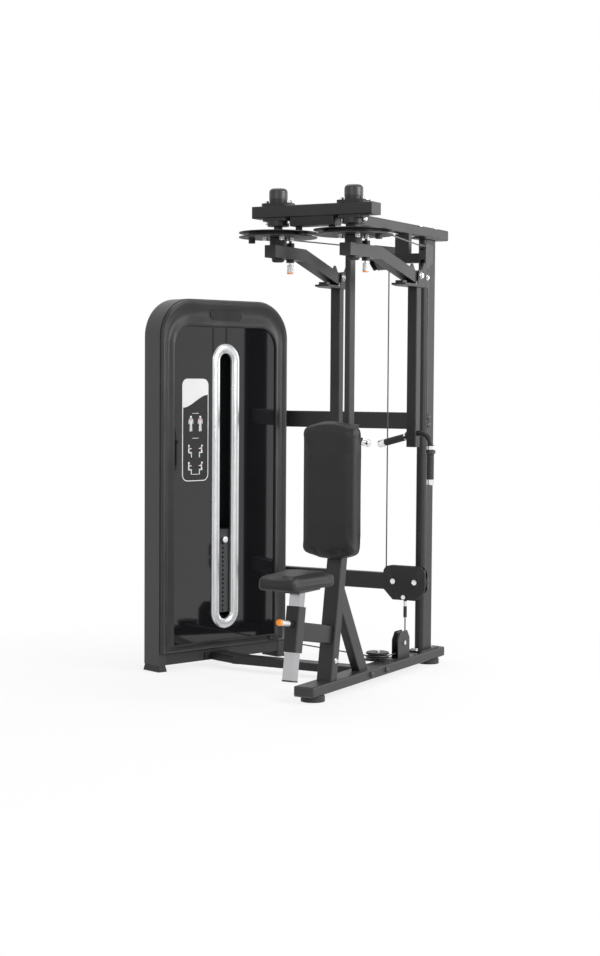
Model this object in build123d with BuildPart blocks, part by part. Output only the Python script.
from build123d import *
import os
from math import asin, atan2, cos, hypot, radians, sin, tan

# Pec fly and rear delt machine with a selectorised weight tower. Millimetres.
# +X is the user's left as they sit, +Y runs from the seat to the rear column, +Z is up.
# The origin is the centre of the front floor pad's underside.

os.makedirs("parts", exist_ok=True)

# Clearances
running = 0.05
seat_gap = 0.3
free_gap = 2

# Base beam, floor pads and rear column
base_width = 92
base_height = 44
base_bottom = 26
base_front = -85
base_rear = 1226
base_wall = 3
cap_thickness = 8
pad_radius = 50
rear_pad_y = 1141
column_width = 42
column_depth = 123
column_y = 1080.5
column_wall = 3
flange_thickness = 8
flange_overhang = 38

# Boom and pivot beam
boom_width = 44
boom_height = 48
boom_bottom = 1973
boom_rear = 1272
pivot_x = 173
pivot_y = -6
pivot_beam_half = 274
pivot_beam_depth = 83
pivot_beam_bottom = 1978
pivot_beam_height = 49
stop_plate_half = 102
stop_plate_bottom = 1942
stop_post_x = 76
stop_post_radius = 14

# Leaning upright, brace and front column
lean = 9.9
upright_width = 70
upright_depth = 56
upright_foot_y = 121.4
upright_top = 1131
upright_cap = 6
brace_width = 40
brace_depth = 72
brace_tilt = 31
brace_foot_y = 427
front_column_width = 26
front_column_depth = 50
front_column_y = 308

# Cross beams to the tower, link beam at floor level
beam_depth = 40
beam_height = 77
beam_y = 1064
mid_beam_bottom = 1096
low_beam_bottom = 345
beam_left = -709.3
link_y = 524
link_depth = 80
link_bottom = 30
link_height = 36
link_bend_x = -660

# Weight tower
tower_turn = 19.25
tower_x = -929
tower_y = 265.5
tower_width = 752
tower_depth = 110
tower_height = 1683
tower_leg = 39
tower_wall = 3
tower_corner = 172
shoe_height = 28
shoe_flare = 6
cross_bar_depth = 60
cross_bar_top = 80
shelf_bottom = 190
shelf_top = 222
shelf_depth = 46
top_bar_bottom = 1480
top_bar_top = 1508
rear_cover_thickness = 2

# Shroud, panel, slot ring and placard
bezel_proud = 18
bezel_inset = 4
bezel_bottom = 82
bezel_top = 1679
bezel_corner = 168
opening_left = 75
opening_right = 677
opening_bottom = 116
opening_top = 1558
opening_corner = 95
panel_thickness = 4
panel_back = 2
ring_half = 82.5
ring_bottom = 168
ring_top = 1484
slot_half = 37.5
slot_bottom = 209
slot_top = 1444
ring_proud = 10
placard_left = 123
placard_right = 274
placard_bottom = 857
placard_top = 1322
placard_thickness = 2

# Weight stack
plate_count = 16
plate_pitch = 20.5
plate_length = 300
plate_depth = 95
plate_gap = 0
head_thickness = 37.5
stack_depth = 55
bumper_height = 20
bumper_radius = 24
rod_radius = 10
rod_spread = 100
stem_radius = 12
select_radius = 5
knob_radius = 15
knob_front = 14

# Pivot bearings, shafts and cams
shaft_radius = 18
bearing_length = 130
bearing_width = 80
bearing_flange = 12
bearing_radius = 37
pivot_cap_radius = 38
pivot_cap_top = 2100
lower_boss_radius = 45
lower_boss_bottom = 1946
cam_radius = 161
cam_plate = 4
cam_middle = 1910
cam_gap = 14
wrap_radius = 120
cam_hub_radius = 37
cam_hub_height = 10
peg_radius = 14
peg_height = 19
peg_reach = 119
index_reach = 108
index_step = 15
index_count = 6
index_radius = 6

# Arms
arm_tube = 50
arm_wall = 3
arm_middle = 1841
arm_front = 69.5
arm_bend = 200
arm_drop = 14
arm_splay = 1.38
arm_hub_radius = 35
hinge_reach = 553
hinge_z = 1768
hinge_hub_radius = 23
hinge_bolt_radius = 6
yoke_plate = 6
yoke_floor_top = 1731
yoke_floor = 12
yoke_front = 402
yoke_rear = 621
hand_tube = 45
hand_bottom = 1034
hand_reach = 555

# Handles
grip_radius = 15.5
inner_grip_root = 1081
inner_grip_drop = 15
inner_grip_length = 120
outer_rod_radius = 11
outer_rod_z = 1094
outer_bend = 50
outer_reach = 84
outer_grip_top = 1007
outer_grip_bottom = 897

# Seat
seat_front = -322
seat_rear = -5
seat_shoulder = -34
seat_top = 541
seat_thickness = 56
seat_front_half = 81
seat_rear_half = 120
seat_plate_thickness = 14
post_y = -138
post_z = 450
post_size = 46
post_wall = 3
post_low = -343
sleeve_size = 60
sleeve_low = -229.5
sleeve_high = -43.7
bracket_along = -142
bracket_height = 76
bracket_width = 40
seat_pin_along = -116
seat_pin_radius = 5
seat_pin_pitch = 25
seat_holes_below = 4
seat_holes_above = 2

# Back pad
back_pad_front = 113
back_pad_depth = 68
back_pad_half = 126
back_pad_bottom = 600
back_pad_top = 1121
back_pad_arch = 25
back_mount_heights = (668, 1046)

# Pulleys and cable
cable_radius = 3
groove_radius = 43.5
pulley_rim = 50
pulley_half = 9
axle_radius = 6
top_pulley_x = 106.5
top_pulley_y = 840.55
top_pulley_z = 1866.5
block_pulley_z = 408
block_low = 324
block_high = 479
block_half = 104
cheek = 6
base_pulley_z = 135.5
terminal_top = 324
terminal_bottom = 245
flat_pulley_x = -48
flat_pulley_y = 700
flat_groove = 48
tower_top_axle_z = 1580
tower_fall_depth = 92


def save(piece, name):
    """Label a finished piece and write it under its own name."""
    piece.label = name
    export_step(piece, f"parts/{name}.step")


def along_x(x, y, z):
    """A plane whose normal is +X and whose sketch x axis is +Y."""
    return Plane(origin=(x, y, z), x_dir=(0, 1, 0), z_dir=(1, 0, 0))


def along_y(x, y, z):
    """A plane whose normal is +Y and whose sketch x axis is -X."""
    return Plane(origin=(x, y, z), x_dir=(-1, 0, 0), z_dir=(0, 1, 0))


def level(x, y, z):
    """A horizontal plane."""
    return Plane(origin=(x, y, z), x_dir=(1, 0, 0), z_dir=(0, 0, 1))


def box_tube(plane, width, height, length, wall, corner):
    """A rounded rectangular tube that starts on a plane and runs along its normal."""
    with BuildPart() as made:
        with BuildSketch(plane):
            RectangleRounded(width, height, corner)
            RectangleRounded(width - 2 * wall, height - 2 * wall, corner - wall + 0.5, mode=Mode.SUBTRACT)
        extrude(amount=length)
    return made.part


def disc(plane, radius, length, bore=0):
    """A round bar or ring that starts on a plane and runs along its normal."""
    with BuildPart() as made:
        with BuildSketch(plane):
            Circle(radius)
            if bore:
                Circle(bore, mode=Mode.SUBTRACT)
        extrude(amount=length)
    return made.part


def hex_head(plane, radius=10, height=8):
    """A hexagon bolt head or nut that stands on a plane."""
    with BuildPart() as made:
        with BuildSketch(plane):
            RegularPolygon(radius, 6)
        extrude(amount=height)
    return made.part


def slab(plane, points, thickness, corner=0):
    """A plate with a straight-sided outline, drawn on a plane."""
    with BuildPart() as made:
        with BuildSketch(plane) as face:
            with BuildLine():
                Polyline(*points, close=True)
            make_face()
            if corner:
                fillet(face.vertices(), corner)
        extrude(amount=thickness)
    return made.part


def pulley(plane, groove=groove_radius, rim=pulley_rim, half=pulley_half):
    """A grooved wheel centred on a plane, with its axle bore along the normal."""
    floor = groove - cable_radius - seat_gap
    section = Plane(origin=plane.origin, x_dir=plane.x_dir, z_dir=-plane.y_dir)
    with BuildPart() as made:
        with BuildSketch(section):
            with BuildLine():
                Polyline(
                    (axle_radius + running, -half),
                    (rim, -half),
                    (rim, 1.5 - half),
                    (floor, -cable_radius),
                    (floor, cable_radius),
                    (rim, half - 1.5),
                    (rim, half),
                    (axle_radius + running, half),
                    close=True,
                )
            make_face()
        revolve(axis=Axis(plane.origin, plane.z_dir))
    return made.part


def cable_run(start, end):
    """A straight length of cable."""
    heading = Vector(*end) - Vector(*start)
    return disc(Plane(origin=start, z_dir=heading), cable_radius, heading.length)


def cable_arc(start, heading, centre, axis_dir, angle):
    """A length of cable bent round a wheel, from a point where it runs along its heading."""
    with BuildPart() as made:
        with BuildSketch(Plane(origin=start, z_dir=heading)):
            Circle(cable_radius)
        revolve(axis=Axis(centre, axis_dir), revolution_arc=angle)
    return made.part


def joined(pieces):
    """Several overlapping or touching lengths as one solid."""
    with BuildPart() as made:
        for piece in pieces:
            add(piece)
    return made.part


def group(pieces):
    """Separate solids that share one node."""
    return Compound(children=list(pieces))


def across(piece):
    """The same piece on the other side of the machine."""
    return mirror(piece, about=Plane.YZ)


def arch(left, right, bottom, top, radius):
    """An upright outline with rounded upper corners."""
    with BuildSketch() as outline:
        with Locations(((left + right) / 2, (bottom + top) / 2)):
            Rectangle(right - left, top - bottom)
        fillet(outline.vertices().group_by(Axis.Y)[-1], radius)
    return outline.sketch


# ---- planes and heights that several pieces share
turn = radians(tower_turn)
tower_along = Vector(sin(turn), cos(turn), 0)
tower_normal = Vector(cos(turn), -sin(turn), 0)
tower_front = Plane(origin=(tower_x, tower_y, 0), x_dir=tower_along, z_dir=tower_normal)


def tower_point(along, out, up):
    """A point given along the tower's width, out from its front and up from the floor."""
    return tower_front.from_local_coords(Vector(along, up, out))


def tower_level(along, out, up):
    """A horizontal plane at a tower point; its sketch y axis points out of the tower's back."""
    return Plane(origin=tower_point(along, out, up), x_dir=tower_along, z_dir=(0, 0, 1))


def tower_side(along, out, up):
    """A plane across the tower, with its sketch x axis pointing out of the front."""
    return Plane(origin=tower_point(along, out, up), x_dir=tower_normal, z_dir=-tower_along)


tower_middle = tower_width / 2
tilt = radians(lean)
rise = Vector(0, sin(tilt), cos(tilt))
level_back = Vector(0, cos(tilt), -sin(tilt))
post_axis = Plane(origin=(0, post_y, post_z), x_dir=(1, 0, 0), z_dir=rise)
base_top = base_bottom + base_height
upright_front_foot = upright_foot_y - upright_depth / 2 / cos(tilt)
splay = radians(arm_splay)
arm_heading = Vector(sin(splay), cos(splay), 0)
arm_across = Vector(cos(splay), -sin(splay), 0)
beam_top = pivot_beam_bottom + pivot_beam_height
cam_low = cam_middle - cam_gap / 2 - cam_plate
cam_high = cam_middle + cam_gap / 2 + cam_plate
drum_radius = wrap_radius - cable_radius - seat_gap
arm_top = arm_middle + arm_tube / 2
arm_bottom = arm_middle - arm_tube / 2
arm_slope = tan(radians(arm_drop))
pivot_to_top = hypot(pivot_x - top_pulley_x, top_pulley_y - pivot_y)
cable_turn = asin(wrap_radius / pivot_to_top) + atan2(pivot_x - top_pulley_x, top_pulley_y - pivot_y)
fall_x = top_pulley_x - groove_radius * sin(cable_turn)
fall_y = top_pulley_y + groove_radius * cos(cable_turn)
block_pulley_x = fall_x - groove_radius
base_pulley_y = fall_y - groove_radius


def arm_point(out, side, up):
    """A point on the +X arm, out from the pivot, sideways from its middle and up from the floor."""
    spot = Vector(pivot_x, pivot_y, 0) + arm_heading * out + arm_across * side
    return Vector(spot.X, spot.Y, up)


def arm_profile(side):
    """A vertical plane along the +X arm; sketch x runs out from the pivot and sketch y is height."""
    return Plane(origin=arm_point(0, side, 0), x_dir=arm_heading, z_dir=arm_across)


def upright_face(height):
    """Y of the upright's front face at a height."""
    return upright_front_foot + (height - base_top) * tan(tilt)


# ---- base
base_middle = base_bottom + base_height / 2
base_beam = box_tube(
    along_y(0, base_front + cap_thickness, base_middle),
    base_width,
    base_height,
    base_rear - base_front - 2 * cap_thickness,
    base_wall,
    7,
)
save(base_beam, "base_beam")

with BuildPart() as front_cap:
    with BuildSketch(along_y(0, base_front, base_middle)):
        RectangleRounded(base_width, base_height, 7)
    extrude(amount=cap_thickness)
    chamfer(front_cap.faces().sort_by(Axis.Y)[0].edges().sort_by(Axis.Z)[-1], cap_thickness * 0.8)
with BuildPart() as rear_cap:
    with BuildSketch(along_y(0, base_rear - cap_thickness, base_middle)):
        RectangleRounded(base_width, base_height, 7)
    extrude(amount=cap_thickness)
    fillet(rear_cap.faces().sort_by(Axis.Y)[-1].edges(), 4)
with BuildPart() as boom_cap:
    with BuildSketch(along_y(0, boom_rear - cap_thickness, boom_bottom + boom_height / 2)):
        RectangleRounded(boom_width, boom_height, 6)
    extrude(amount=cap_thickness)
    fillet(boom_cap.faces().sort_by(Axis.Y)[-1].edges(), 4)

floor_pads = []
for pad_y in (0, rear_pad_y):
    with BuildPart() as floor_pad:
        with BuildSketch(level(0, pad_y, 0)):
            Circle(pad_radius)
        extrude(amount=base_bottom)
        chamfer(floor_pad.faces().sort_by(Axis.Z)[-1].edges(), 5)
    floor_pads.append(floor_pad.part)

# ---- rear column with its foot and head flanges
with BuildPart() as rear_column:
    with BuildSketch(level(0, column_y, base_top + flange_thickness)):
        RectangleRounded(column_width, column_depth, column_width / 2 - 0.1)
        RectangleRounded(
            column_width - 2 * column_wall,
            column_depth - 2 * column_wall,
            column_width / 2 - column_wall - 0.1,
            mode=Mode.SUBTRACT,
        )
    extrude(amount=boom_bottom - base_top - 2 * flange_thickness)
    for bottom, width in ((base_top, base_width - 14), (boom_bottom - flange_thickness, boom_width + 34)):
        with BuildSketch(level(0, column_y, bottom)):
            RectangleRounded(width, column_depth + 2 * flange_overhang, 8)
        extrude(amount=flange_thickness)
save(rear_column.part, "rear_column")

# ---- boom and pivot beam
boom_front = pivot_y + pivot_beam_depth / 2
boom = box_tube(
    along_y(0, boom_front, boom_bottom + boom_height / 2),
    boom_width,
    boom_height,
    boom_rear - cap_thickness - boom_front,
    base_wall,
    6,
)
save(boom, "top_boom")

beam_section = along_x(-pivot_beam_half, pivot_y, pivot_beam_bottom + pivot_beam_height / 2)
with BuildPart() as pivot_beam:
    with BuildSketch(beam_section):
        RectangleRounded(pivot_beam_depth, pivot_beam_height, 5)
    extrude(amount=2 * pivot_beam_half)
    with BuildSketch(beam_section.offset(base_wall)):
        RectangleRounded(pivot_beam_depth - 2 * base_wall, pivot_beam_height - 2 * base_wall, 3)
    extrude(amount=2 * (pivot_beam_half - base_wall), mode=Mode.SUBTRACT)
    with BuildSketch(level(0, pivot_y, pivot_beam_bottom)):
        with Locations((pivot_x, 0), (-pivot_x, 0)):
            Circle(shaft_radius + 6)
    extrude(amount=pivot_beam_height)
    with BuildSketch(level(0, pivot_y, pivot_beam_bottom)):
        with Locations((pivot_x, 0), (-pivot_x, 0)):
            Circle(shaft_radius + free_gap)
    extrude(amount=pivot_beam_height, mode=Mode.SUBTRACT)
    with BuildSketch(level(0, pivot_y, stop_plate_bottom)):
        RectangleRounded(2 * stop_plate_half, pivot_beam_depth - 10, 8)
    extrude(amount=pivot_beam_bottom - stop_plate_bottom)
    with BuildSketch(level(0, pivot_y, cam_high + free_gap)):
        with Locations((stop_post_x, 0), (-stop_post_x, 0)):
            Circle(stop_post_radius)
    extrude(amount=stop_plate_bottom - cam_high - free_gap)
save(pivot_beam.part, "pivot_beam")

# ---- leaning upright, its brace and the column that stands on it
lean_foot = Plane(origin=(0, upright_foot_y, base_top), x_dir=(1, 0, 0), z_dir=rise)
with BuildPart() as seat_upright:
    with BuildSketch(lean_foot.offset(-40)):
        RectangleRounded(upright_width, upright_depth, 6)
        RectangleRounded(upright_width - 6, upright_depth - 6, 3.5, mode=Mode.SUBTRACT)
    extrude(amount=1400)
    split(bisect_by=Plane.XY.offset(base_top), keep=Keep.TOP)
    split(bisect_by=Plane.XY.offset(upright_top - upright_cap), keep=Keep.BOTTOM)
    with BuildSketch(level(0, front_column_y, upright_top - upright_cap)):
        RectangleRounded(upright_width, upright_depth + 4, 6)
    extrude(amount=upright_cap)
save(seat_upright.part, "seat_upright")

brace_rise = Vector(0, -sin(radians(brace_tilt)), cos(radians(brace_tilt)))
brace_foot = Plane(origin=(0, brace_foot_y, base_top), x_dir=(1, 0, 0), z_dir=brace_rise)
upright_back = Plane(origin=lean_foot.origin + level_back * (upright_depth / 2), z_dir=level_back)
with BuildPart() as upright_brace:
    with BuildSketch(brace_foot.offset(-60)):
        RectangleRounded(brace_width, brace_depth, 6)
        RectangleRounded(brace_width - 6, brace_depth - 6, 3.5, mode=Mode.SUBTRACT)
    extrude(amount=760)
    split(bisect_by=Plane.XY.offset(base_top), keep=Keep.TOP)
    split(bisect_by=upright_back, keep=Keep.TOP)
save(upright_brace.part, "upright_brace")

with BuildPart() as front_column:
    with BuildSketch(level(0, front_column_y, upright_top)):
        RectangleRounded(front_column_width, front_column_depth, 5)
        RectangleRounded(front_column_width - 5, front_column_depth - 5, 3, mode=Mode.SUBTRACT)
    extrude(amount=boom_bottom - upright_top)
save(front_column.part, "front_column")

# ---- beams from the rear column to the tower, each with an end plate and a stub on the tower
cross_beams = []
tower_stubs = []
stub_out = (beam_left - tower_point(tower_width, 0, 0).X) / cos(turn)
stub_near = tower_point(tower_width, stub_out, 0)
stub_far = tower_point(tower_width, stub_out - 55, 0)
for bottom in (mid_beam_bottom, low_beam_bottom):
    middle = bottom + beam_height / 2
    beam = box_tube(
        along_x(beam_left, beam_y, middle),
        beam_depth,
        beam_height,
        -column_width / 2 - beam_left,
        base_wall,
        5,
    )
    cross_beams.append(beam)
    stub = slab(
        level(0, 0, bottom),
        [
            (stub_near.X, stub_near.Y),
            (beam_left, beam_y + beam_depth / 2),
            (stub_far.X, beam_y + beam_depth / 2),
            (stub_far.X, stub_far.Y),
        ],
        beam_height,
    )
    tower_stubs.append(stub)
save(group(cross_beams + tower_stubs), "cross_beams")

# ---- link beam from the base to the tower's foot
link_middle = link_bottom + link_height / 2
link_end_plate = 8
tower_link_along = (
    (Vector(link_bend_x, link_y, 0) - Vector(tower_x, tower_y, 0)).dot(tower_along)
)
link_bend_out = (Vector(link_bend_x, link_y, 0) - Vector(tower_x, tower_y, 0)).dot(tower_normal)
link_start = along_x(-base_width / 2 - link_end_plate, link_y, link_middle)
link_finish = tower_side(tower_link_along, -2, link_middle)
with BuildPart() as link_beam:
    with BuildSketch(link_start):
        RectangleRounded(link_depth, link_height, 5)
        RectangleRounded(link_depth - 6, link_height - 6, 3, mode=Mode.SUBTRACT)
    extrude(amount=link_bend_x + base_width / 2 + link_end_plate)
    with BuildSketch(Plane(origin=(link_bend_x, link_y, link_middle), x_dir=tower_along, z_dir=-tower_normal)):
        RectangleRounded(link_depth, link_height, 5)
        RectangleRounded(link_depth - 6, link_height - 6, 3, mode=Mode.SUBTRACT)
    extrude(amount=link_bend_out + 2 - link_end_plate)
    with BuildSketch(level(link_bend_x, link_y, link_bottom)):
        Circle(link_depth / 2)
    extrude(amount=link_height)
    with BuildSketch(along_x(-base_width / 2 - link_end_plate, link_y, link_middle)):
        RectangleRounded(link_depth + 110, link_height, 4)
    extrude(amount=link_end_plate)
    with BuildSketch(
        Plane(
            origin=tower_point(tower_link_along, link_end_plate - 2, link_middle),
            x_dir=tower_along,
            z_dir=-tower_normal,
        )
    ):
        RectangleRounded(link_depth + 60, link_height, 4)
    extrude(amount=link_end_plate)
save(link_beam.part, "link_beam")

# ---- tower frame, cross bars, shoes and rear cover
leg_cavity = tower_leg - 2 * tower_wall
outer_arch = arch(0, tower_width, shoe_height, tower_height, tower_corner)
inner_arch = arch(
    tower_leg,
    tower_width - tower_leg,
    shoe_height,
    tower_height - tower_leg,
    tower_corner - tower_leg,
)
cavity_arch = arch(
    tower_wall,
    tower_width - tower_wall,
    shoe_height + tower_wall,
    tower_height - tower_wall,
    tower_corner - tower_wall,
)
cavity_core = arch(
    tower_wall + leg_cavity,
    tower_width - tower_wall - leg_cavity,
    shoe_height + tower_wall,
    tower_height - tower_wall - leg_cavity,
    tower_corner - tower_wall - leg_cavity,
)
with BuildPart() as tower_frame:
    with BuildSketch(tower_front.offset(-tower_depth)):
        add(outer_arch)
        add(inner_arch, mode=Mode.SUBTRACT)
    extrude(amount=tower_depth)
    with BuildSketch(tower_front.offset(-tower_depth + tower_wall)):
        add(cavity_arch)
        add(cavity_core, mode=Mode.SUBTRACT)
    extrude(amount=tower_depth - 2 * tower_wall, mode=Mode.SUBTRACT)
save(tower_frame.part, "tower_frame")

shoes = []
for along in (tower_leg / 2, tower_width - tower_leg / 2):
    with BuildPart() as shoe:
        with BuildSketch(tower_level(along, -tower_depth / 2, 0)):
            RectangleRounded(tower_leg + 2 * shoe_flare, tower_depth + 2 * shoe_flare, 10)
        with BuildSketch(tower_level(along, -tower_depth / 2, shoe_height)):
            RectangleRounded(tower_leg, tower_depth, 8)
        loft()
    shoes.append(shoe.part)
save(group(floor_pads + shoes), "floor_pads")

inside_width = tower_width - 2 * tower_leg
fall_along = (
    Vector(flat_pulley_x, flat_pulley_y, 0) - tower_along * flat_groove - Vector(tower_x, tower_y, 0)
).dot(tower_along)
with BuildPart() as foot_bar:
    with BuildSketch(tower_level(tower_middle, -2 - cross_bar_depth / 2, shoe_height)):
        Rectangle(inside_width, cross_bar_depth)
    extrude(amount=cross_bar_top - shoe_height)
with BuildPart() as stack_shelf:
    with BuildSketch(tower_level(tower_middle, -stack_depth, shelf_bottom)):
        Rectangle(inside_width, shelf_depth)
    extrude(amount=shelf_top - shelf_bottom)
with BuildPart() as top_bar:
    with BuildSketch(tower_level(tower_middle, -stack_depth, top_bar_bottom)):
        Rectangle(inside_width, shelf_depth)
        Circle(cable_radius + 5, mode=Mode.SUBTRACT)
    extrude(amount=top_bar_top - top_bar_bottom)
save(group([foot_bar.part, stack_shelf.part, top_bar.part]), "tower_cross_bars")

cover_arch = arch(
    tower_leg + 0.2,
    tower_width - tower_leg - 0.2,
    cross_bar_top,
    tower_height - tower_leg - 0.2,
    tower_corner - tower_leg,
)
with BuildPart() as rear_cover:
    with BuildSketch(tower_front.offset(-tower_depth)):
        add(cover_arch)
    extrude(amount=rear_cover_thickness)
save(rear_cover.part, "rear_cover")

# ---- shroud on the tower's front
bezel_outer = arch(bezel_inset, tower_width - bezel_inset, bezel_bottom, bezel_top, bezel_corner)
bezel_hole = arch(opening_left, opening_right, opening_bottom, opening_top, opening_corner)
with BuildPart() as front_bezel:
    with BuildSketch(tower_front):
        add(bezel_outer)
        add(bezel_hole, mode=Mode.SUBTRACT)
    extrude(amount=bezel_proud)
    fillet(front_bezel.faces().sort_by(Axis(tower_front.origin, tower_normal))[-1].outer_wire().edges(), 8)
    with BuildSketch(tower_front):
        with Locations((fall_along, bezel_bottom + 8)):
            Rectangle(18, 24)
    extrude(amount=bezel_proud, mode=Mode.SUBTRACT)
save(front_bezel.part, "front_bezel")

panel_outer = arch(
    opening_left + seat_gap,
    opening_right - seat_gap,
    opening_bottom + seat_gap,
    opening_top - seat_gap,
    opening_corner - seat_gap,
)
with BuildPart() as front_panel:
    with BuildSketch(tower_front.offset(panel_back)):
        add(panel_outer)
        with Locations((tower_middle, (slot_bottom + slot_top) / 2)):
            RectangleRounded(2 * slot_half, slot_top - slot_bottom, 18, mode=Mode.SUBTRACT)
    extrude(amount=panel_thickness)
save(front_panel.part, "front_panel")

panel_face = panel_back + panel_thickness
with BuildPart() as slot_ring:
    with BuildSketch(tower_front.offset(panel_face)):
        with Locations((tower_middle, (ring_bottom + ring_top) / 2)):
            RectangleRounded(2 * ring_half, ring_top - ring_bottom, 34)
        with Locations((tower_middle, (slot_bottom + slot_top) / 2)):
            RectangleRounded(2 * slot_half, slot_top - slot_bottom, 18, mode=Mode.SUBTRACT)
    extrude(amount=ring_proud)
    fillet(slot_ring.faces().sort_by(Axis(tower_front.origin, tower_normal))[-1].outer_wire().edges(), 5)
save(slot_ring.part, "slot_ring")

with BuildPart() as placard:
    with BuildSketch(tower_front.offset(panel_face)):
        with Locations(((placard_left + placard_right) / 2, (placard_bottom + placard_top) / 2)):
            RectangleRounded(placard_right - placard_left, placard_top - placard_bottom, 10)
    extrude(amount=placard_thickness)
save(placard.part, "placard")

# ---- weight stack: guide rods, bumpers, plates, lifted head with its stem, selector pin
rod_places = (tower_middle - rod_spread, tower_middle + rod_spread)
guide_rods = []
bumpers = []
for along in rod_places:
    rod_foot = tower_level(along, -stack_depth, shelf_top)
    guide_rods.append(disc(rod_foot, rod_radius, top_bar_bottom - shelf_top))
    bumpers.append(disc(rod_foot, bumper_radius, bumper_height, rod_radius + seat_gap))
save(group(guide_rods), "guide_rods")
save(group(bumpers), "stack_bumpers")

stack_bottom = shelf_top + bumper_height
plates = []
for number in range(plate_count):
    with BuildPart() as plate:
        with BuildSketch(tower_level(tower_middle, -stack_depth, stack_bottom + number * plate_pitch)):
            RectangleRounded(plate_length, plate_depth, 8)
            with Locations((-rod_spread, 0), (rod_spread, 0)):
                Circle(rod_radius + 0.5, mode=Mode.SUBTRACT)
            Circle(stem_radius + 0.5, mode=Mode.SUBTRACT)
        extrude(amount=plate_pitch)
        with BuildSketch(
            tower_front.offset(plate_depth / 2 - stack_depth)
        ):
            with Locations((tower_middle, stack_bottom + (number + 0.5) * plate_pitch)):
                Circle(select_radius + 0.5)
        extrude(amount=-plate_depth / 2, mode=Mode.SUBTRACT)
    plates.append(plate.part)
save(group(plates), "weight_plates")

lifted_bottom = stack_bottom + plate_count * plate_pitch
head_top = lifted_bottom + plate_pitch + head_thickness
select_z = lifted_bottom + plate_pitch / 2
stem_bottom = stack_bottom + 4
with BuildPart() as lifted_plate:
    with BuildSketch(tower_level(tower_middle, -stack_depth, lifted_bottom)):
        RectangleRounded(plate_length, plate_depth, 8)
        with Locations((-rod_spread, 0), (rod_spread, 0)):
            Circle(rod_radius + 0.5, mode=Mode.SUBTRACT)
        Circle(stem_radius + 0.5, mode=Mode.SUBTRACT)
    extrude(amount=plate_pitch)
    with BuildSketch(tower_front.offset(plate_depth / 2 - stack_depth)):
        with Locations((tower_middle, select_z)):
            Circle(select_radius + running)
    extrude(amount=-plate_depth / 2, mode=Mode.SUBTRACT)
with BuildPart() as stack_head:
    with BuildSketch(tower_level(tower_middle, -stack_depth, lifted_bottom + plate_pitch)):
        RectangleRounded(plate_length, plate_depth, 8)
        with Locations((-rod_spread, 0), (rod_spread, 0)):
            Circle(rod_radius + running, mode=Mode.SUBTRACT)
    extrude(amount=head_thickness)
    with BuildSketch(tower_level(tower_middle, -stack_depth, head_top)):
        Circle(16)
    extrude(amount=14)
    with BuildSketch(tower_level(tower_middle, -stack_depth, stem_bottom)):
        Circle(stem_radius)
    extrude(amount=lifted_bottom + plate_pitch - stem_bottom)
    with BuildSketch(tower_front):
        for number in range(plate_count + 1):
            with Locations((tower_middle, stack_bottom + (number + 0.5) * plate_pitch)):
                Circle(select_radius + running)
    extrude(amount=-stack_depth - 4, mode=Mode.SUBTRACT)
save(group([lifted_plate.part, stack_head.part]), "lifted_weights")

select_plane = Plane(
    origin=tower_point(tower_middle, -stack_depth, select_z), x_dir=tower_along, z_dir=tower_normal
)
plate_face = plate_depth / 2
with BuildPart() as selector_pin:
    with BuildSketch(select_plane):
        Circle(select_radius)
    extrude(amount=stack_depth)
    with BuildSketch(select_plane.offset(plate_face + 1)):
        Circle(knob_radius)
    extrude(amount=stack_depth + knob_front - plate_face - 1)
    fillet(selector_pin.faces().sort_by(Axis(tower_front.origin, tower_normal))[-1].edges(), 5)
save(selector_pin.part, "selector_pin")

# ---- pivot bearings and their caps
bearings = []
pivot_caps = []
for side in (1, -1):
    spot = side * pivot_x
    with BuildPart() as upper_bearing:
        with BuildSketch(level(spot, pivot_y, beam_top)):
            RectangleRounded(bearing_length, bearing_width, 22)
        extrude(amount=bearing_flange)
        with BuildSketch(level(spot, pivot_y, beam_top + bearing_flange)):
            Circle(bearing_radius)
        extrude(amount=18)
        with BuildSketch(level(spot, pivot_y, beam_top)):
            Circle(shaft_radius + running)
        extrude(amount=bearing_flange + 18, mode=Mode.SUBTRACT)
    with BuildPart() as lower_bearing:
        with BuildSketch(level(spot, pivot_y, pivot_beam_bottom)):
            RectangleRounded(bearing_length - 10, bearing_width, 22)
            with Locations((-side * (pivot_x - 0), 0)):
                Rectangle(2 * stop_plate_half + 1, bearing_width + 10, mode=Mode.SUBTRACT)
        extrude(amount=-bearing_flange)
        with BuildSketch(level(spot, pivot_y, pivot_beam_bottom - bearing_flange)):
            Circle(lower_boss_radius)
        extrude(amount=lower_boss_bottom - pivot_beam_bottom + bearing_flange)
        with BuildSketch(level(spot, pivot_y, lower_boss_bottom)):
            Circle(shaft_radius + running)
        extrude(amount=pivot_beam_bottom - lower_boss_bottom, mode=Mode.SUBTRACT)
    bearings.extend([upper_bearing.part, lower_bearing.part])
    cap_bottom = beam_top + bearing_flange + 18
    with BuildPart() as pivot_cap:
        with BuildSketch(level(spot, pivot_y, cap_bottom)):
            Circle(pivot_cap_radius)
        extrude(amount=pivot_cap_top - cap_bottom)
        fillet(pivot_cap.faces().sort_by(Axis.Z)[-1].edges(), 16)
        with BuildSketch(level(spot, pivot_y, cap_bottom)):
            Circle(shaft_radius + free_gap)
        extrude(amount=24, mode=Mode.SUBTRACT)
    pivot_caps.append(pivot_cap.part)
save(group(bearings), "pivot_bearings")
save(group([front_cap.part, rear_cap.part, boom_cap.part, *pivot_caps]), "end_caps")

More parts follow.
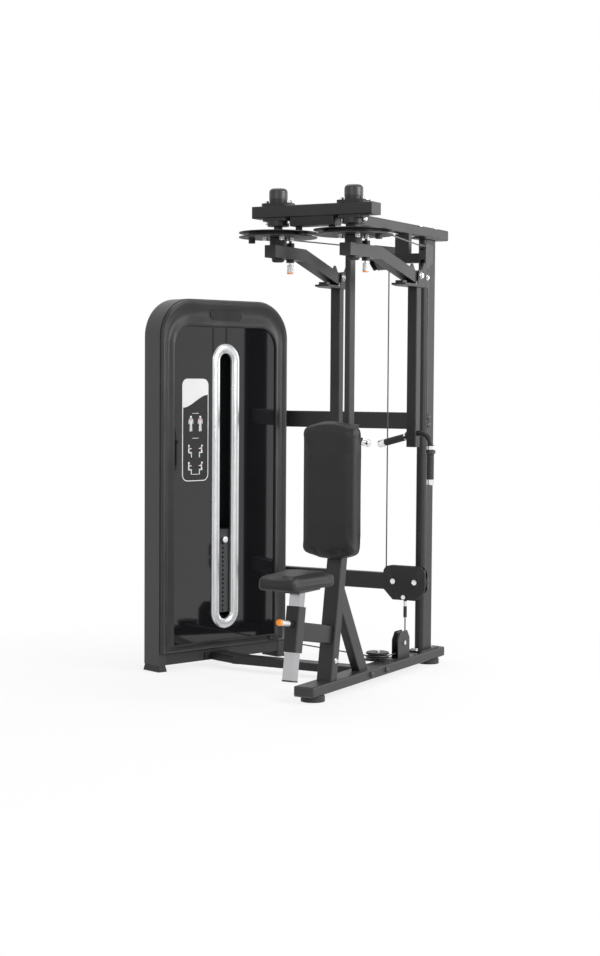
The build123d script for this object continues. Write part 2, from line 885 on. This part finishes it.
# ---- cams: shaft, grooved disc with index holes, hubs, rubber peg and bolts
shaft_top = beam_top + bearing_flange + 18 + 12
dome_top = arm_bottom - seat_gap
with BuildPart() as cam_wheel:
    with BuildSketch(level(pivot_x, pivot_y, dome_top)):
        Circle(shaft_radius)
    extrude(amount=shaft_top - dome_top)
    with BuildSketch(level(pivot_x, pivot_y, dome_top)):
        Circle(shaft_radius + 8)
    extrude(amount=-16)
    fillet(cam_wheel.faces().sort_by(Axis.Z)[0].edges(), 9)
    with BuildSketch(level(pivot_x, pivot_y, cam_low)):
        Circle(cam_radius)
    extrude(amount=cam_plate)
    with BuildSketch(level(pivot_x, pivot_y, cam_high - cam_plate)):
        Circle(cam_radius)
    extrude(amount=cam_plate)
    with BuildSketch(level(pivot_x, pivot_y, cam_low + cam_plate)):
        Circle(drum_radius)
    extrude(amount=cam_gap)
    with BuildSketch(level(pivot_x, pivot_y, cam_high)):
        Circle(cam_hub_radius)
    extrude(amount=cam_hub_height)
    with BuildSketch(level(pivot_x, pivot_y, cam_low)):
        with PolarLocations(index_reach, index_count, 90 - arm_splay, -index_step * (index_count - 1)):
            Circle(index_radius + 0.3)
    extrude(amount=cam_gap, mode=Mode.SUBTRACT)
    with BuildSketch(level(pivot_x, pivot_y, cam_low)):
        with PolarLocations(peg_reach, 1, -5):
            Circle(peg_radius)
        with PolarLocations(55, 4, 45):
            RegularPolygon(9, 6)
    extrude(amount=-12)
    with BuildSketch(level(pivot_x, pivot_y, cam_low - 12)):
        with PolarLocations(peg_reach, 1, -5):
            Circle(peg_radius)
    extrude(amount=12 - peg_height)
save(cam_wheel.part, "cam_right")
save(across(cam_wheel.part), "cam_left")

# ---- arms: tube with a falling end, hub, guide boss for the index pin, hinge eye
lower_end = 526
end_z = arm_middle - (lower_end - arm_bend) * arm_slope
half_fall = arm_tube / 2 / cos(radians(arm_drop))
kink = arm_tube / 2 * tan(radians(arm_drop / 2))
with BuildPart() as arm:
    with BuildSketch(arm_profile(-arm_tube / 2)) as arm_outline:
        with BuildLine():
            Polyline(
                (-arm_front, arm_bottom),
                (arm_bend - kink, arm_bottom),
                (lower_end, end_z - half_fall),
                (lower_end, end_z + half_fall),
                (arm_bend + kink, arm_top),
                (-arm_front, arm_top),
                close=True,
            )
        make_face()
    extrude(amount=arm_tube)
    with BuildSketch(arm_profile(-arm_tube / 2 + arm_wall)):
        with BuildLine():
            Polyline(
                (arm_wall - arm_front, arm_bottom + arm_wall),
                (arm_bend - kink, arm_bottom + arm_wall),
                (lower_end - arm_wall, end_z - half_fall + 2 * arm_wall),
                (lower_end - arm_wall, end_z + half_fall - arm_wall),
                (arm_bend + kink, arm_top - arm_wall),
                (arm_wall - arm_front, arm_top - arm_wall),
                close=True,
            )
        make_face()
    extrude(amount=arm_tube - 2 * arm_wall, mode=Mode.SUBTRACT)
    with BuildSketch(level(pivot_x, pivot_y, arm_bottom)):
        Circle(shaft_radius + 5.5)
    extrude(amount=arm_tube)
    with BuildSketch(level(pivot_x, pivot_y, arm_top)):
        Circle(arm_hub_radius)
    extrude(amount=cam_low - free_gap - arm_top)
    with BuildSketch(level(*arm_point(index_reach, 0, arm_bottom - 12))):
        Circle(index_radius + 11)
    extrude(amount=12 + arm_tube + 19)
    with BuildSketch(level(pivot_x, pivot_y, arm_bottom)):
        Circle(shaft_radius + running)
    extrude(amount=cam_low - arm_bottom, mode=Mode.SUBTRACT)
    with BuildSketch(level(*arm_point(index_reach, 0, arm_bottom - 12))):
        Circle(index_radius + running)
    extrude(amount=arm_tube + 40, mode=Mode.SUBTRACT)
    with BuildSketch(arm_profile(1 - arm_tube / 2)):
        with BuildLine():
            Polyline(
                (lower_end - 8, end_z - half_fall + 10),
                (hinge_reach, hinge_z - hinge_hub_radius + 3),
                (hinge_reach, hinge_z + hinge_hub_radius - 3),
                (lower_end - 8, end_z + half_fall - 4),
                close=True,
            )
        make_face()
        with Locations((hinge_reach, hinge_z)):
            Circle(hinge_hub_radius)
    extrude(amount=arm_tube - 2)
    with BuildSketch(arm_profile(-arm_tube / 2)):
        with Locations((hinge_reach, hinge_z)):
            Circle(hinge_bolt_radius + running)
    extrude(amount=arm_tube, mode=Mode.SUBTRACT)
save(arm.part, "arm_right")
save(across(arm.part), "arm_left")

pin_foot = level(*arm_point(index_reach, 0, arm_bottom - 12 - 8 - seat_gap))
with BuildPart() as index_pin:
    with BuildSketch(pin_foot):
        Circle(index_radius)
    extrude(amount=cam_low - 0.5 - pin_foot.origin.Z)
    with BuildSketch(pin_foot):
        Circle(14)
    extrude(amount=-38)
    fillet(index_pin.faces().sort_by(Axis.Z)[0].edges(), 4)
save(index_pin.part, "index_pin_right")
save(across(index_pin.part), "index_pin_left")

# ---- lower arms: yoke, hinge bolt, hand tube and the two handle rods
yoke_half = arm_tube / 2 + free_gap
yoke_bottom = yoke_floor_top - yoke_floor
hand_half = hand_tube / 2
ear_outline = [
    (hinge_reach - 30, yoke_bottom),
    (yoke_rear, yoke_bottom),
    (yoke_rear, hinge_z - 6),
    (yoke_rear - 8, hinge_z + 30),
    (yoke_rear - 26, hinge_z + 55),
    (yoke_rear - 38, hinge_z + 55),
    (hinge_reach + 10, hinge_z + 26),
    (hinge_reach - 24, hinge_z + 22),
]
inner_turn = radians(inner_grip_drop)
inner_heading = arm_across * -cos(inner_turn) + Vector(0, 0, -sin(inner_turn))
inner_root = arm_point(hand_reach, -hand_half + 3, inner_grip_root)
inner_plane = Plane(origin=inner_root, z_dir=inner_heading)
outer_root = arm_point(hand_reach, hand_half - 3, outer_rod_z)
outer_corner = arm_point(hand_reach, outer_reach - outer_bend, outer_rod_z)
outer_down = arm_point(hand_reach, outer_reach, outer_rod_z - outer_bend)
outer_centre = arm_point(hand_reach, outer_reach - outer_bend, outer_rod_z - outer_bend)
with BuildPart() as lower_arm:
    for side in (-yoke_half - yoke_plate, yoke_half):
        with BuildSketch(arm_profile(side)) as ear:
            with BuildLine():
                Polyline(*ear_outline, close=True)
            make_face()
        extrude(amount=yoke_plate)
    with BuildSketch(arm_profile(-yoke_half - yoke_plate)):
        with BuildLine():
            Polyline(
                (yoke_front, yoke_bottom + 4),
                (yoke_front + 34, yoke_bottom),
                (yoke_rear, yoke_bottom),
                (yoke_rear, yoke_floor_top),
                (yoke_front, yoke_floor_top),
                close=True,
            )
        make_face()
    extrude(amount=2 * (yoke_half + yoke_plate))
    with BuildSketch(arm_profile(-18)):
        with Locations((yoke_front + 24, yoke_floor_top + 5)):
            Rectangle(34, 12)
    extrude(amount=36)
    with BuildSketch(arm_profile(-yoke_half - yoke_plate)):
        with Locations((hinge_reach, hinge_z)):
            Circle(hinge_bolt_radius)
    extrude(amount=2 * (yoke_half + yoke_plate))
    with BuildSketch(arm_profile(-yoke_half - yoke_plate - 7)):
        with Locations((hinge_reach, hinge_z)):
            RegularPolygon(11, 6)
    extrude(amount=7)
    with BuildSketch(arm_profile(yoke_half + yoke_plate)):
        with Locations((hinge_reach, hinge_z)):
            RegularPolygon(11, 6)
        with Locations((yoke_rear - 12, hinge_z - 6)):
            RegularPolygon(8, 6)
    extrude(amount=7)
    with BuildSketch(level(*arm_point(hand_reach, 0, hand_bottom)).rotated((0, 0, -arm_splay))):
        RectangleRounded(hand_tube, hand_tube, 5)
    extrude(amount=yoke_bottom - hand_bottom)
    with BuildSketch(level(*arm_point(hand_reach, 0, hand_bottom + 3)).rotated((0, 0, -arm_splay))):
        RectangleRounded(hand_tube - 6, hand_tube - 6, 3)
    extrude(amount=yoke_bottom - hand_bottom - 6, mode=Mode.SUBTRACT)
    with BuildSketch(inner_plane):
        Circle(9)
    extrude(amount=inner_grip_length + 20)
    with BuildSketch(inner_plane):
        Circle(20)
    extrude(amount=9)
    with BuildSketch(Plane(origin=outer_root, z_dir=arm_across)):
        Circle(outer_rod_radius)
    extrude(amount=outer_reach - outer_bend - hand_half + 3)
    with BuildSketch(Plane(origin=outer_corner, z_dir=arm_across)):
        Circle(outer_rod_radius)
    revolve(axis=Axis(outer_centre, arm_heading), revolution_arc=90)
    with BuildSketch(Plane(origin=outer_down, z_dir=(0, 0, -1))):
        Circle(outer_rod_radius)
    extrude(amount=outer_rod_z - outer_bend - outer_grip_bottom + 12)
    with BuildSketch(Plane(origin=outer_down, z_dir=(0, 0, -1))):
        Circle(16.5)
    extrude(amount=outer_rod_z - outer_bend - outer_grip_top - 18)
save(lower_arm.part, "lower_arm_right")
save(across(lower_arm.part), "lower_arm_left")

# ---- handle grips with their flanges and end caps
outer_axis = Plane(origin=arm_point(hand_reach, outer_reach, outer_grip_top), z_dir=(0, 0, -1))
grip_length = outer_grip_top - outer_grip_bottom
with BuildPart() as outer_grip:
    with BuildSketch(outer_axis.offset(-16)):
        Circle(21.5)
    extrude(amount=16)
    with BuildSketch(outer_axis):
        Circle(grip_radius)
    extrude(amount=grip_length)
    with BuildSketch(outer_axis.offset(grip_length)):
        Circle(17)
    extrude(amount=25)
    with BuildSketch(outer_axis.offset(-16)):
        Circle(outer_rod_radius + running)
    extrude(amount=grip_length + 16 + 12.5, mode=Mode.SUBTRACT)
inner_start = 9 + seat_gap
with BuildPart() as inner_grip:
    with BuildSketch(inner_plane.offset(inner_start)):
        Circle(17)
    extrude(amount=11)
    with BuildSketch(inner_plane.offset(inner_start + 11)):
        Circle(grip_radius)
    extrude(amount=inner_grip_length - 24)
    with BuildSketch(inner_plane.offset(inner_start + inner_grip_length - 13)):
        Circle(17)
    extrude(amount=22 + 13)
    with BuildSketch(inner_plane.offset(inner_start)):
        Circle(9 + running)
    extrude(amount=inner_grip_length + 13, mode=Mode.SUBTRACT)
grips = group([outer_grip.part, inner_grip.part])
save(grips, "grips_right")
save(group([across(outer_grip.part), across(inner_grip.part)]), "grips_left")

# ---- seat: sleeve with its arm, post with plate, pop pin, cushion
bore = post_size + 2 * running
arm_start = Plane(
    origin=post_axis.origin + rise * bracket_along, x_dir=(1, 0, 0), z_dir=level_back
)
upright_gap = (lean_foot.origin - post_axis.origin).dot(level_back) - upright_depth / 2
with BuildPart() as seat_sleeve:
    with BuildSketch(arm_start.offset(sleeve_size / 2 - 1)):
        RectangleRounded(bracket_width, bracket_height, 6)
        RectangleRounded(bracket_width - 6, bracket_height - 6, 3.5, mode=Mode.SUBTRACT)
    extrude(amount=upright_gap - sleeve_size / 2 + 1)
    with BuildSketch(post_axis.offset(sleeve_low)):
        RectangleRounded(sleeve_size, sleeve_size, 5)
    extrude(amount=sleeve_high - sleeve_low)
    with BuildSketch(post_axis.offset(sleeve_low)):
        Rectangle(bore, bore)
    extrude(amount=sleeve_high - sleeve_low, mode=Mode.SUBTRACT)
    pin_axis = Plane(
        origin=post_axis.origin + rise * seat_pin_along - level_back * (post_size / 2 + 0.5),
        x_dir=(1, 0, 0),
        z_dir=level_back * -1,
    )
    with BuildSketch(pin_axis.offset((sleeve_size - post_size) / 2 - 1)):
        Circle(15)
    extrude(amount=16)
    with BuildSketch(pin_axis.offset(-1)):
        Circle(seat_pin_radius + running)
    extrude(amount=30, mode=Mode.SUBTRACT)
save(seat_sleeve.part, "seat_sleeve")

post_top = 470
hole_along = [seat_pin_along + seat_pin_pitch * step for step in range(-seat_holes_below, seat_holes_above + 1)]
with BuildPart() as seat_post:
    with BuildSketch(post_axis.offset(post_low)):
        Rectangle(post_size, post_size)
    extrude(amount=420)
    with BuildSketch(post_axis.offset(post_low + post_wall)):
        Rectangle(post_size - 2 * post_wall, post_size - 2 * post_wall)
    extrude(amount=420, mode=Mode.SUBTRACT)
    split(bisect_by=Plane.XY.offset(post_top), keep=Keep.BOTTOM)
    with BuildSketch(
        Plane(origin=post_axis.origin - level_back * (post_size / 2), x_dir=(1, 0, 0), z_dir=level_back * -1)
    ):
        for along in hole_along:
            with Locations((0, along)):
                Circle(seat_pin_radius + 0.3)
    extrude(amount=-8, mode=Mode.SUBTRACT)
    with BuildSketch(level(0, post_y, post_top)):
        Rectangle(110, 180)
    extrude(amount=seat_top - seat_thickness - seat_gap - post_top)
save(seat_post.part, "seat_post")

seat_knob = 16 + (sleeve_size - post_size) / 2 - 1 + 8 + seat_gap
with BuildPart() as seat_pin:
    with BuildSketch(pin_axis):
        Circle(seat_pin_radius)
    extrude(amount=seat_knob + 20)
    with BuildSketch(pin_axis.offset(seat_knob)):
        Circle(12.5)
    extrude(amount=82)
    with BuildSketch(pin_axis.offset(seat_knob + 66)):
        Circle(13)
    extrude(amount=17)
save(seat_pin.part, "seat_pin")

with BuildPart() as seat_pad:
    with BuildSketch(level(0, 0, seat_top - seat_thickness)) as seat_outline:
        with BuildLine():
            Line((-seat_front_half, seat_front), (seat_front_half, seat_front))
            Line((seat_front_half, seat_front), (seat_rear_half, seat_shoulder))
            ThreePointArc((seat_rear_half, seat_shoulder), (0, seat_rear), (-seat_rear_half, seat_shoulder))
            Line((-seat_rear_half, seat_shoulder), (-seat_front_half, seat_front))
        make_face()
        fillet(seat_outline.vertices(), 22)
    extrude(amount=seat_thickness)
    fillet(seat_pad.faces().sort_by(Axis.Z)[-1].edges(), 10)
save(seat_pad.part, "seat_pad")

# ---- back pad and its two mounts
pad_middle = (back_pad_bottom + back_pad_top) / 2
pad_half = (back_pad_top - back_pad_bottom) / 2
with BuildPart() as back_pad:
    with BuildSketch(along_y(0, back_pad_front, pad_middle)) as pad_outline:
        with BuildLine():
            Line((back_pad_half, -pad_half), (back_pad_half, pad_half))
            ThreePointArc((back_pad_half, pad_half), (0, pad_half + back_pad_arch), (-back_pad_half, pad_half))
            Line((-back_pad_half, pad_half), (-back_pad_half, -pad_half))
            ThreePointArc((-back_pad_half, -pad_half), (0, -pad_half - back_pad_arch), (back_pad_half, -pad_half))
        make_face()
        fillet(pad_outline.vertices(), 26)
    extrude(amount=back_pad_depth)
    fillet(back_pad.faces().sort_by(Axis.Y)[0].edges(), 12)
save(back_pad.part, "back_pad")

pad_back = back_pad_front + back_pad_depth + seat_gap
mounts = []
for height in back_mount_heights:
    block = slab(
        along_x(-28, 0, 0),
        [
            (pad_back, height - 30),
            (upright_face(height - 30), height - 30),
            (upright_face(height + 30), height + 30),
            (pad_back, height + 30),
        ],
        56,
    )
    mounts.append(block)
save(group(mounts), "pad_mounts")

# ---- top pulleys in their guards, hung from the boom
top_heading = Vector(-sin(cable_turn), cos(cable_turn), 0)
top_axle = Vector(cos(cable_turn), sin(cable_turn), 0)
top_plane = Plane(
    origin=(top_pulley_x, top_pulley_y, top_pulley_z), x_dir=top_heading, z_dir=top_axle
)
save(pulley(top_plane), "top_pulley_right")
save(across(pulley(top_plane)), "top_pulley_left")

guard_front = 762
guard_rear = 912
guard_low = 1811
guard_high = 1923
guard_gap = pulley_half + free_gap
guard_outline = [
    (guard_front - top_pulley_y + 30, guard_low - top_pulley_z),
    (guard_rear - top_pulley_y, guard_low - top_pulley_z + 34),
    (guard_rear - top_pulley_y, guard_high - top_pulley_z),
    (guard_front - top_pulley_y, guard_high - top_pulley_z),
    (guard_front - top_pulley_y, guard_low - top_pulley_z + 30),
]
with BuildPart() as top_guard:
    for side in (-guard_gap - 4, guard_gap):
        with BuildSketch(top_plane.offset(side)):
            with BuildLine():
                Polyline(*guard_outline, close=True)
            make_face()
        extrude(amount=4)
    with BuildSketch(top_plane.offset(-guard_gap - 4)):
        Circle(axle_radius)
    extrude(amount=2 * guard_gap + 8)
    with BuildSketch(top_plane.offset(-guard_gap - 1)):
        with Locations((guard_front - top_pulley_y + 3, guard_high - top_pulley_z - 50)):
            Rectangle(6, 40)
    extrude(amount=2 * guard_gap + 2)
with BuildPart() as pulley_hanger:
    with BuildSketch(level(0, 826, 1885)):
        Rectangle(68, 30)
    extrude(amount=boom_bottom - 1885)
    with BuildSketch(along_x(guard_gap - top_pulley_x, 828, 1864)):
        Rectangle(34, 42)
    extrude(amount=2 * (top_pulley_x - guard_gap))
    add(top_guard.part)
    add(across(top_guard.part))
save(pulley_hanger.part, "top_pulley_hanger")

# ---- arm cables, falls, floating block and its cable
tangent_right = Vector(
    pivot_x + wrap_radius * cos(cable_turn), pivot_y + wrap_radius * sin(cable_turn), cam_middle
)
top_right = Vector(top_pulley_x, top_pulley_y, cam_middle)
cam_wrap = cable_arc(
    tangent_right, top_heading * -1, (pivot_x, pivot_y, cam_middle), (0, 0, -1), 168
)
top_wrap = cable_arc(
    top_right, top_heading, (top_pulley_x, top_pulley_y, top_pulley_z), top_axle * -1, 90
)
arm_cable = joined([cam_wrap, cable_run(tangent_right, top_right), top_wrap])
save(group([arm_cable, across(arm_cable)]), "arm_cables")

fall = cable_run((fall_x, fall_y, block_pulley_z), (fall_x, fall_y, top_pulley_z))
save(group([fall, across(fall)]), "cable_falls")

block_bottom_z = block_pulley_z - groove_radius
block_cable = joined(
    [
        cable_arc((fall_x, fall_y, block_pulley_z), (0, 0, -1), (block_pulley_x, fall_y, block_pulley_z), (0, 1, 0), 90),
        cable_run((block_pulley_x, fall_y, block_bottom_z), (-block_pulley_x, fall_y, block_bottom_z)),
        cable_arc((-block_pulley_x, fall_y, block_bottom_z), (-1, 0, 0), (-block_pulley_x, fall_y, block_pulley_z), (0, 1, 0), 90),
    ]
)
save(block_cable, "block_cable")

block_plane = along_y(0, fall_y, 0)
for name, side in (("block_pulley_left", 1), ("block_pulley_right", -1)):
    save(pulley(along_y(side * -block_pulley_x, fall_y, block_pulley_z)), name)

cheek_gap = pulley_half + free_gap
with BuildPart() as pulley_block:
    for side in (-cheek_gap - cheek, cheek_gap):
        with BuildSketch(block_plane.offset(side)) as cheek_face:
            with BuildLine():
                Polyline(
                    (-56, block_low),
                    (56, block_low),
                    (block_half, block_low + 48),
                    (block_half, block_high),
                    (-block_half, block_high),
                    (-block_half, block_low + 48),
                    close=True,
                )
            make_face()
            fillet(cheek_face.vertices().group_by(Axis.Y)[-1], 33)
        extrude(amount=cheek)
    with BuildSketch(block_plane.offset(-cheek_gap - cheek)):
        with Locations((block_pulley_x, block_pulley_z), (-block_pulley_x, block_pulley_z), (0, block_low + 14)):
            Circle(axle_radius)
    extrude(amount=2 * (cheek_gap + cheek))
    for side in (-cheek_gap - cheek - 6, cheek_gap + cheek):
        with BuildSketch(block_plane.offset(side)):
            with Locations((block_pulley_x, block_pulley_z), (-block_pulley_x, block_pulley_z), (0, block_low + 14)):
                RegularPolygon(10, 6)
        extrude(amount=6)
    with BuildSketch(level(0, fall_y, terminal_bottom + 50)):
        Circle(7)
    extrude(amount=block_low + 12 - terminal_bottom - 50)
    with BuildSketch(level(0, fall_y, terminal_bottom)):
        Circle(8)
    extrude(amount=50)
save(pulley_block.part, "pulley_block")

# ---- base pulley in its bracket, flat pulley, cable to the tower
save(pulley(along_x(0, base_pulley_y, base_pulley_z)), "base_pulley")
with BuildPart() as base_bracket:
    for side in (-cheek_gap - 5, cheek_gap):
        with BuildSketch(along_x(side, base_pulley_y, base_top)) as bracket_face:
            with BuildLine():
                Polyline((-60, 0), (60, 0), (60, 84), (34, 118), (-34, 118), (-60, 84), close=True)
            make_face()
        extrude(amount=5)
    with BuildSketch(along_x(-cheek_gap - 5, base_pulley_y, base_pulley_z)):
        Circle(axle_radius)
    extrude(amount=2 * cheek_gap + 10)

cable_low_z = base_pulley_z - groove_radius
flat_plane = level(flat_pulley_x, flat_pulley_y, cable_low_z)
save(pulley(flat_plane, groove=flat_groove, rim=flat_groove + 6), "flat_pulley")
with BuildPart() as flat_bracket:
    with BuildSketch(level(-44, flat_pulley_y, base_top)):
        RectangleRounded(116, 100, 12)
    extrude(amount=6)
    with BuildSketch(level(flat_pulley_x, flat_pulley_y, base_top)):
        Circle(axle_radius)
    extrude(amount=cable_low_z + pulley_half + 8 - base_top)
    with BuildSketch(level(flat_pulley_x, flat_pulley_y, cable_low_z + pulley_half + free_gap)):
        Circle(flat_groove + 2)
    extrude(amount=4)
save(group([base_bracket.part, flat_bracket.part]), "base_pulley_brackets")

low_fall = disc(level(0, fall_y, base_pulley_z), cable_radius, terminal_bottom - base_pulley_z)
save(low_fall, "base_cable_fall")

flat_centre = Vector(flat_pulley_x, flat_pulley_y, cable_low_z)
flat_leave = flat_centre - tower_along * flat_groove
tower_low_z = base_pulley_z
tower_enter = tower_point(fall_along, groove_radius - tower_fall_depth, cable_low_z)
base_cable = joined(
    [
        cable_arc((0, fall_y, base_pulley_z), (0, 0, -1), (0, base_pulley_y, base_pulley_z), (-1, 0, 0), 90),
        cable_run((0, base_pulley_y, cable_low_z), (0, flat_pulley_y, cable_low_z)),
        cable_arc((0, flat_pulley_y, cable_low_z), (0, -1, 0), flat_centre, (0, 0, -1), 90 + tower_turn),
        cable_run(flat_leave, tower_enter),
        cable_arc(
            tower_enter,
            (tower_normal * -1),
            tower_point(fall_along, groove_radius - tower_fall_depth, base_pulley_z),
            tower_along,
            90,
        ),
    ]
)

tower_low_centre = tower_point(fall_along, groove_radius - tower_fall_depth, base_pulley_z)
tower_low_plane = Plane(origin=tower_low_centre, x_dir=tower_normal, z_dir=tower_along)
save(pulley(tower_low_plane), "tower_low_pulley")

top_start = (fall_along, -tower_fall_depth)
top_finish = (tower_middle, -stack_depth)
across_length = hypot(top_finish[0] - top_start[0], top_finish[1] - top_start[1])
top_along = (top_finish[0] - top_start[0]) / across_length
top_out = (top_finish[1] - top_start[1]) / across_length
top_run = tower_along * top_along + tower_normal * top_out
first_centre = tower_point(
    top_start[0] + groove_radius * top_along, top_start[1] + groove_radius * top_out, tower_top_axle_z
)
second_centre = tower_point(
    top_finish[0] - groove_radius * top_along, top_finish[1] - groove_radius * top_out, tower_top_axle_z
)
over = Vector(0, 0, groove_radius)
roll = Vector(0, 0, 1).cross(top_run)
tower_cable = joined(
    [
        cable_run(
            tower_point(fall_along, -tower_fall_depth, base_pulley_z),
            tower_point(fall_along, -tower_fall_depth, tower_top_axle_z),
        ),
        cable_arc(
            tower_point(fall_along, -tower_fall_depth, tower_top_axle_z),
            (0, 0, 1),
            first_centre,
            roll,
            90,
        ),
        cable_run((first_centre + over), (second_centre + over)),
        cable_arc((second_centre + over), top_run, second_centre, roll, 90),
    ]
)
save(joined([base_cable, tower_cable]), "stack_cable")

for name, centre in (("tower_top_pulley_a", first_centre), ("tower_top_pulley_b", second_centre)):
    save(pulley(Plane(origin=centre, x_dir=top_run, z_dir=roll)), name)

stack_fall = disc(
    tower_level(tower_middle, -stack_depth, head_top + 14), cable_radius, tower_top_axle_z - head_top - 14
)
save(stack_fall, "stack_cable_fall")

hanger_low = tower_top_axle_z - 18
hanger_high = tower_height - tower_leg
hanger_middle = (first_centre + second_centre) * 0.5
hanger_plane = Plane(origin=hanger_middle, x_dir=top_run, z_dir=roll * -1)
hanger_half = across_length / 2
hanger_reach = hanger_half - groove_radius + 20
with BuildPart() as tower_brackets:
    for side in (-pulley_half - 1.5 - 3, pulley_half + 1.5):
        with BuildSketch(hanger_plane.offset(side)):
            with BuildLine():
                Polyline(
                    (-hanger_reach, hanger_low - tower_top_axle_z),
                    (hanger_reach, hanger_low - tower_top_axle_z),
                    (hanger_reach, hanger_high - tower_top_axle_z),
                    (-hanger_reach + 60, hanger_high - tower_top_axle_z),
                    (-hanger_reach, hanger_high - 30 - tower_top_axle_z),
                    close=True,
                )
            make_face()
        extrude(amount=3)
    with BuildSketch(hanger_plane.offset(-pulley_half - 4)):
        with Locations((hanger_half - groove_radius, 0), (groove_radius - hanger_half, 0)):
            Circle(axle_radius)
    extrude(amount=2 * pulley_half + 8)
    with BuildSketch(hanger_plane.offset(-pulley_half - 2)):
        with Locations((0, hanger_high - tower_top_axle_z - 3)):
            Rectangle(2 * hanger_reach - 128, 6)
    extrude(amount=2 * pulley_half + 4)
low_bracket_plane = tower_side(fall_along, groove_radius - tower_fall_depth, 0)
with BuildPart() as low_bracket:
    for side in (-pulley_half - free_gap - 4, pulley_half + free_gap):
        with BuildSketch(low_bracket_plane.offset(side)):
            with BuildLine():
                Polyline(
                    (-13, cross_bar_top),
                    (30, cross_bar_top),
                    (16, base_pulley_z + 14),
                    (-13, base_pulley_z + 14),
                    close=True,
                )
            make_face()
        extrude(amount=4)
    with BuildSketch(low_bracket_plane.offset(-pulley_half - free_gap - 4)):
        with Locations((0, base_pulley_z)):
            Circle(axle_radius)
    extrude(amount=2 * (pulley_half + free_gap + 4))
save(group([tower_brackets.part, low_bracket.part]), "tower_pulley_brackets")

# ---- bolts, nuts and screws on the frame
heads = []
for end in (-1, 1):
    bolt_y = column_y + end * (column_depth + flange_overhang) / 2
    heads.append(hex_head(level(0, bolt_y, base_top + flange_thickness), 11, 9))
    heads.append(hex_head(level(0, bolt_y, boom_bottom + boom_height), 11, 8))
for height in (mid_beam_bottom, low_beam_bottom):
    for rise_by in (beam_height * 0.28, beam_height * 0.72):
        heads.append(hex_head(along_x(column_width / 2, beam_y, height + rise_by), 10, 8))
for offset_y in (-75, 75):
    heads.append(hex_head(along_x(base_width / 2, link_y + offset_y, link_middle), 10, 8))
for side in (1, -1):
    for offset_x in (-55, 55):
        upper = level(side * pivot_x + offset_x, pivot_y, beam_top + bearing_flange)
        heads.append(hex_head(upper, 10, 12))
heads.append(hex_head(level(flat_pulley_x, flat_pulley_y, cable_low_z + pulley_half + 8), 11, 7))
for side in (1, -1):
    heads.append(
        hex_head(Plane(origin=(side * (cheek_gap + 5), base_pulley_y, base_pulley_z), z_dir=(side, 0, 0)), 11, 7)
    )
save(group(heads), "frame_bolts")
